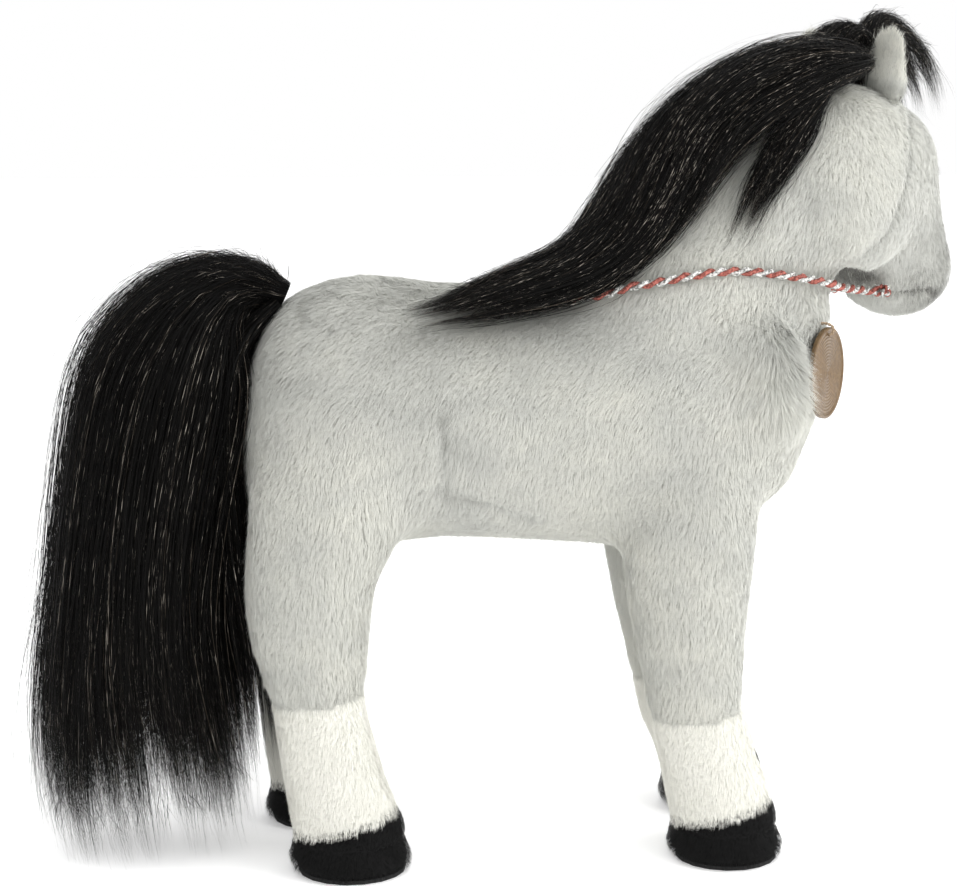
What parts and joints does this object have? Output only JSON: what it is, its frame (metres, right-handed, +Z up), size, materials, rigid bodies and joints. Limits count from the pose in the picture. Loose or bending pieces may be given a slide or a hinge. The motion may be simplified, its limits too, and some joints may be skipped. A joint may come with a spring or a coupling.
{
  "type": "plush toy horse",
  "caption": "Standing plush horse with its head turned to its left, long-haired mane and tail, white socks, black hooves, a cord rein and a round chest medallion.",
  "frame": {"origin": "middle of the length and width at the ground under the soles", "axes": "+X from the tail towards the chest, +Y to the horse's left, +Z up"},
  "size_m": [0.3854, 0.1226, 0.3335],
  "materials": {
    "plush": "matte pile",
    "sock_plush": "matte pile",
    "hoof_plush": "matte short pile",
    "sole_cloth": "matte cloth",
    "hair": "glossy synthetic hair",
    "lining": "matte short pile",
    "eye_plastic": "gloss",
    "washer_plastic": "matte",
    "rein_cord": "twisted cord with metallic yarn",
    "medallion": "embossed satin",
    "thread": "matte thread"
  },
  "bodies": {
    "horse": {"torso": "plush", "neck": "plush", "head": "plush", "eye_left": "eye_plastic", "eye_right": "eye_plastic", "eye_washer_left": "washer_plastic", "eye_washer_right": "washer_plastic", "forelock": "hair", "mane": "hair", "rein": "rein_cord", "rein_knot_left": "rein_cord", "rein_knot_right": "rein_cord", "leg_front_left": "plush", "sock_front_left": "sock_plush", "hoof_front_left": "hoof_plush", "sole_front_left": "sole_cloth", "leg_front_right": "plush", "sock_front_right": "sock_plush", "hoof_front_right": "hoof_plush", "sole_front_right": "sole_cloth", "leg_hind_left": "plush", "sock_hind_left": "sock_plush", "hoof_hind_left": "hoof_plush", "sole_hind_left": "sole_cloth", "leg_hind_right": "plush", "sock_hind_right": "sock_plush", "hoof_hind_right": "hoof_plush", "sole_hind_right": "sole_cloth"},
    "tail_body": {"tail": "hair"},
    "medallion_body": {"medallion": "medallion", "medallion_loop": "thread"},
    "ear_right_body": {"ear_right": "plush", "ear_lining_right": "lining"},
    "ear_left_body": {"ear_left": "plush", "ear_lining_left": "lining"}
  },
  "joints": [
    {"name": "tail_lift", "type": "hinge", "parent": "horse", "child": "tail_body", "pos_m": [-0.08832, -0.00642, 0.2265], "axis": [0, 1, 0], "range_deg": [0, 75]},
    {"name": "medallion_swing", "type": "hinge", "parent": "horse", "child": "medallion_body", "pos_m": [0.11685, -0.02995, 0.2132], "axis": [-0.567, -0.8237, 0], "range_deg": [0, 80]},
    {"name": "ear_right_fold", "type": "hinge", "parent": "horse", "child": "ear_right_body", "pos_m": [0.14895, -0.00467, 0.303], "axis": [-0.5812, 0.8021, 0.1374], "range_deg": [-20, 25], "stiffness_Nm_per_rad": 0.02},
    {"name": "ear_left_fold", "type": "hinge", "parent": "horse", "child": "ear_left_body", "pos_m": [0.12757, 0.01599, 0.303], "axis": [-0.8216, 0.5532, -0.1374], "range_deg": [-20, 25], "stiffness_Nm_per_rad": 0.02}
  ]
}
